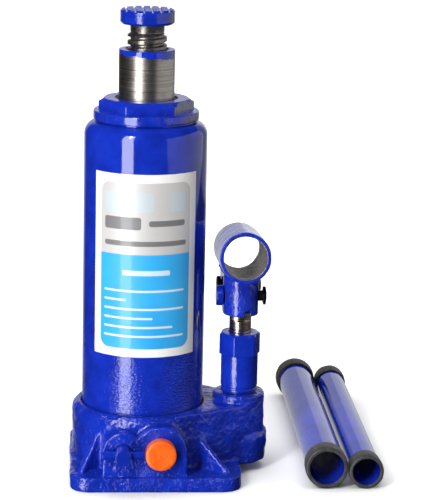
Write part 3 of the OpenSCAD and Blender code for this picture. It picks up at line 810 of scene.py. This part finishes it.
def pin_piece(node, body, head_r, material, clip_material):
    """A headed pin, turned with soft edges, and its open clip."""
    start = left_end(node)
    from_start = start.x / MM
    head_to_middle, shank_r, groove_r, groove_w = 9.35, 2.8, 2.1, 1.5
    head = PUMP_X / MM - from_start - head_to_middle
    groove = span(node + "_clip", 0)[0] / MM - from_start - 0.05
    length = length_of(node, 0)
    corners = [(0, 0, 0), (head_r, 0, 0.8), (head_r, head, 0.6), (shank_r, head, 0.1),
               (shank_r, groove, 0), (groove_r, groove, 0), (groove_r, groove + groove_w, 0),
               (shank_r, groove + groove_w, 0), (shank_r, length, 0.5), (0, length, 0)]
    pin = lathe(node + "_shell", corners, start, TO_RIGHT, segments=72)
    settle(pin, material, body, [node])
    ring = softened(joined_copy(node + "_clip_shell", [node + "_clip"]), 0.14, 4)
    settle(ring, clip_material, body, [node + "_clip"])


def release_pieces(material):
    """The release valve's stem and the bar through it that the handle turns."""
    stem_r, groove_r, tip_r, length = 4.2, 3, 2.2, length_of("release_stem", 1)
    corners = [(0, 0, 0), (stem_r, 0, 0.6), (stem_r, 15.5, 0), (groove_r, 15.5, 0), (groove_r, 18, 0),
               (stem_r, 18, 0), (stem_r, 20.5, 0.3), (tip_r, 20.9, 0.2), (tip_r, length, 0.2),
               (0, length, 0)]
    stem = lathe("release_stem_shell", corners, front_end("release_stem"), TO_BACK, segments=72)
    settle(stem, material, "release_valve", ["release_stem"])
    radius, length = length_of("release_cross_pin", 2) / 2, length_of("release_cross_pin", 0)
    corners = [(0, 0, 0), (radius, 0, 0.5), (radius, length, 0.5), (0, length, 0)]
    pin = lathe("release_cross_pin_shell", corners, left_end("release_cross_pin"), TO_RIGHT, segments=48)
    roughen(pin, [(2.5, 0.06)])
    settle(pin, material, "release_valve", ["release_cross_pin"])


def cap_piece(material):
    """The overload valve's moulded cap, with a rounded rim and a small gate mark at its centre."""
    radius, length, neck_r, neck = radius_of("overload_cap"), length_of("overload_cap", 1), 5.3, 5.9
    corners = [(0, 0.55, 0), (0.42, 0.5, 0.1), (0.5, 0.12, 0.1), (radius - 1.6, 0.0, 0.8),
               (radius, 0.35, 0.7), (radius, neck, 0.3), (neck_r, neck + 0.05, 0), (neck_r, length, 0.3),
               (0, length, 0)]
    obj = lathe("overload_cap_shell", corners, front_end("overload_cap"), TO_BACK, segments=120)
    return settle(obj, material, "base", ["overload_cap"])


def filler_piece(material):
    """The push-in oil plug: a tapered stem, a round flange on the tube and a grip."""
    seat = front_end("oil_filler_plug")
    length, stem_r, flange_r, grip_r = length_of("oil_filler_plug", 1), 4.45, 7, 3.2
    head = TUBE_RADIUS / MM + 0.05 - seat.y / MM
    corners = [(0, 0, 0), (3.6, 0, 0.3), (stem_r, 1.2, 0.3), (stem_r, head, 0), (flange_r, head, 0.4),
               (flange_r, head + 2.2, 0.9), (grip_r, head + 2.25, 0.5), (grip_r, length, 0.8),
               (0, length, 0)]
    obj = lathe("oil_filler_plug_shell", corners, seat, TO_BACK, segments=96)
    return settle(obj, material, "filler_plug", ["oil_filler_plug"])


def bar_pieces(name, paint, black):
    """A handle tube and the two push-on collars at its ends. The tube's body has its name."""
    tube_node, collar_node = name + "_tube", name + "_collars"
    place = front_end(collar_node)
    outer, inner = radius_of(tube_node), radius_of(tube_node) - 0.85
    collar_r, length = radius_of(collar_node), length_of(collar_node, 1)
    start, end = 1.5, length - 1.5
    corners = [(inner, start, 0.2), (outer, start, 0.2), (outer, end, 0.2), (inner, end, 0.2)]
    tube = lathe(tube_node + "_shell", corners, place, TO_BACK, segments=96)
    tube_rings(tube, place, length)
    settle(tube, paint, name, [tube_node])
    depth, lip, seat_r = 10.5, 1.4, outer + 0.02
    near = [(inner, 0, 0.45), (collar_r - 0.15, 0, 0.9), (collar_r, 3.2, 0.6),
            (collar_r - 0.25, depth, 0.5), (seat_r, depth, 0), (seat_r, lip, 0), (inner, lip, 0.2)]
    far = [(r, length - z, rounding) for r, z, rounding in near]
    rings = [lathe(name + "_collar", outline, place, TO_BACK, segments=96) for outline in (near, far)]
    both = joined_copy(collar_node + "_shell", [], rings)
    smooth(both, 45)

    def outside(point):
        from_axis = math.hypot(point.x - place.x / MM, point.z - place.z / MM)
        return 1.0 if from_axis > outer + 0.3 else 0.0

    roughen(both, [(4, 0.16), (1.3, 0.06)], outside)
    keep_between(both, low=0.0)
    settle(both, black, name, [collar_node])


def tube_rings(obj, place, length):
    """Cuts the long faces of a tube into short ones, so that a shallow waviness can show in the gloss."""
    work = bmesh.new()
    work.from_mesh(obj.data)
    spacing = 4
    for y in np.arange(spacing, length - 2, spacing):
        bmesh.ops.bisect_plane(work, geom=work.verts[:] + work.edges[:] + work.faces[:],
                               plane_co=place + Vector((0, y * MM, 0)), plane_no=(0, 1, 0))
    work.to_mesh(obj.data)
    work.free()
    roughen(obj, [(11, 0.045)])
    smooth(obj, 40)


# ---------------------------------------------------------------- carried CAD nodes


def paint_nodes(material, *names):
    """CAD nodes keep their shape and take a procedural material."""
    for name in names:
        obj = frame["nodes"][name]
        obj.data.materials.clear()
        obj.data.materials.append(material)


# ---------------------------------------------------------------- stage, light and camera


def stage_piece(material):
    """A plain floor. It stays out of reflections, so that the glossy paint mirrors only the lamps."""
    near, far = 6.0, 14.0
    points = [Vector((x, y, 0)) for y in (-near, far) for x in (-far, far)]
    obj = mesh_piece("studio_floor", points, [(0, 1, 3, 2)], 180)
    obj.data.materials.append(material)
    obj.visible_glossy = False
    obj.visible_diffuse = False
    obj.visible_shadow = False


def soft_box(name, place, aim, width, height, power, mirrored=True):
    """A rectangular lamp that the camera never sees. One that isn't mirrored only sheds diffuse light."""
    light = bpy.data.lights.new(name, "AREA")
    light.shape = "RECTANGLE"
    light.size, light.size_y = width, height
    light.energy = power
    obj = bpy.data.objects.new(name, light)
    bpy.context.scene.collection.objects.link(obj)
    obj.location = place
    obj.rotation_euler = (Vector(aim) - Vector(place)).to_track_quat("-Z", "Y").to_euler()
    obj.visible_camera = False
    obj.visible_glossy = mirrored


def round_about(azimuth, distance, height):
    """A place at an azimuth from the front, positive to the right, as seen from the camera."""
    a = math.radians(azimuth)
    return (distance * math.sin(a), -distance * math.cos(a), height)


def studio_lights():
    """A tall strip on the left of the camera, dim panels on the right, and soft light above and behind.
    A small lamp high over the strip puts glints on the edges and on the casting's lumps."""
    strip_aim, panel_aim, aim = (0.02, 0, 0.25), (0.02, 0, 0.36), (0.02, 0, 0.15)
    soft_box("strip", round_about(-35, 1.1, 0.25), strip_aim, 0.42, 2.0, 21)
    soft_box("panel", round_about(84, 1.05, 0.36), panel_aim, 2.2, 0.92, 4.4)
    soft_box("top", (0.05, 0.15, 1.3), (0.05, 0, 0.1), 1.2, 1.0, 8, mirrored=False)
    soft_box("glint", round_about(-33, 1.1, 0.95), aim, 0.10, 0.45, 5.5)
    soft_box("edge_panel", round_about(150, 1.2, 0.36), panel_aim, 1.0, 0.92, 0.8)
    soft_box("rear_fill", round_about(-160, 1.3, 0.6), aim, 0.8, 1.0, 11, mirrored=False)


def studio_world():
    """White to the camera; to reflections, dark except for a pale backdrop low behind the object."""
    world = bpy.data.worlds.new("studio")
    world.use_nodes = True
    tree = world.node_tree
    tree.nodes.clear()

    def add(kind, inputs):
        """A node whose inputs are given as values or as other nodes' outputs."""
        node = tree.nodes.new("ShaderNode" + kind)
        for key, value in inputs.items():
            if isinstance(value, bpy.types.NodeSocket):
                tree.links.new(value, node.inputs[key])
            else:
                node.inputs[key].default_value = value
        return node

    def share(value, start, end):
        """0 at the start and 1 at the end."""
        return add("MapRange", {"Value": value, "From Min": start, "From Max": end}).outputs["Result"]

    place = add("TexCoord", {}).outputs["Generated"]
    split = add("SeparateXYZ", {0: place})
    behind, low = share(split.outputs["Y"], 0.84, 0.95), share(split.outputs["Z"], 0.85, 0.45)
    backdrop = add("Math", {0: behind, 1: low})
    backdrop.operation = "MULTIPLY"
    mirrored = add("MapRange", {"Value": backdrop.outputs[0], "To Min": 0.03, "To Max": 0.75})
    seen = add("LightPath", {}).outputs["Is Camera Ray"]
    strength = add("Mix", {0: seen, 2: mirrored.outputs["Result"], 3: 1.3}).outputs[0]
    glow = add("Background", {"Strength": strength}).outputs[0]
    add("OutputWorld", {0: glow})
    bpy.context.scene.world = world


def studio_camera():
    """The jack is seen turned 4 degrees, from a little above, with the camera rolled a degree."""
    yaw, pitch, roll = math.radians(4.0), math.radians(12.9), math.radians(1.256)
    place = Vector((-0.038, -1.0553, 0.3589))
    ahead = Vector((math.cos(pitch) * math.sin(yaw), math.cos(pitch) * math.cos(yaw), -math.sin(pitch)))
    level = Vector((math.cos(yaw), -math.sin(yaw), 0))
    upright = level.cross(ahead)
    right = level * math.cos(roll) + upright * math.sin(roll)
    up = upright * math.cos(roll) - level * math.sin(roll)
    turn = Matrix((right, up, -ahead)).transposed()
    lens = bpy.data.cameras.new("camera")
    lens.sensor_fit = "VERTICAL"
    lens.sensor_height = 24.0
    lens.lens = 100.7328
    lens.clip_start = 0.01
    camera = bpy.data.objects.new("camera", lens)
    camera.matrix_world = Matrix.Translation(place) @ turn.to_4x4()
    bpy.context.scene.collection.objects.link(camera)
    bpy.context.scene.camera = camera


# ---------------------------------------------------------------- assembly

smooth_enamel = enamel("smooth_enamel")
tube_enamel = enamel("tube_enamel", low_peel=True)
cast_enamel = enamel("cast_enamel", lumps=0.75, grit=0.30)
turned_enamel = enamel("turned_enamel", lumps=0.25, grit=0.05)
# The nut's faces that look to the right get a painted grey reflection.
nut_enamel = enamel("nut_enamel", lumps=0.2, scuffs=0.5, rubbed_right=True)
plunger_steel = ground_steel("plunger_steel", (0.52, 0.46, 0.40), shine=0.22)
bore_steel = ground_steel("bore_steel", (0.52, 0.52, 0.53))
dark_steel = screw_steel()
clip_steel = screw_steel("clip_steel", (0.02, 0.02, 0.022))
rubber = soft_black("rubber", tone=0.022, sheen=0.55, scuffs=0.1)
bar_plastic = soft_black("bar_plastic", tone=0.035, sheen=0.5, scuffs=0.6)

base_piece(cast_enamel)
nut_piece(nut_enamel)
ram_piece(ram_steel())
screw_piece(dark_steel)
saddle_piece(turned_enamel)
pump_cylinder_piece(turned_enamel)
socket_piece(socket_enamel())
link_piece(turned_enamel)
pin_piece("front_pin", "socket", 5.3, pin_head_paint(), clip_steel)
pin_piece("rear_pin", "socket", 4.6, clip_steel, clip_steel)
pin_piece("lug_pin", "base", 4.6, clip_steel, clip_steel)
release_pieces(smooth_enamel)
cap_piece(orange_plastic())
filler_piece(rubber)
bar_pieces("large_handle", smooth_enamel, bar_plastic)
bar_pieces("small_handle", smooth_enamel, bar_plastic)

paint_nodes(tube_enamel, "reservoir_tube", "tube_top_seal")
label_piece(label_film())
paint_nodes(plunger_steel, "pump_piston")
paint_nodes(bore_steel, "pressure_cylinder")
paint_nodes(dark_steel, "screw_stop_ring", "passage_plug", "overload_adjuster", "overload_spring",
            "suction_screen")
paint_nodes(polished_steel(), "inlet_ball", "outlet_ball", "release_ball", "overload_ball")
paint_nodes(copper(), "cylinder_gasket", "pump_cylinder_gasket")
paint_nodes(rubber, "tube_bottom_seal", "rod_seal", "rod_wiper", "piston_cup", "pump_rod_seal",
            "pump_piston_seal", "release_seal")
paint_nodes(pale_plastic(), "piston_backup_ring")

stage_piece(floor_paint())
studio_lights()
studio_world()
studio_camera()
bpy.context.scene.view_settings.view_transform = "Standard"
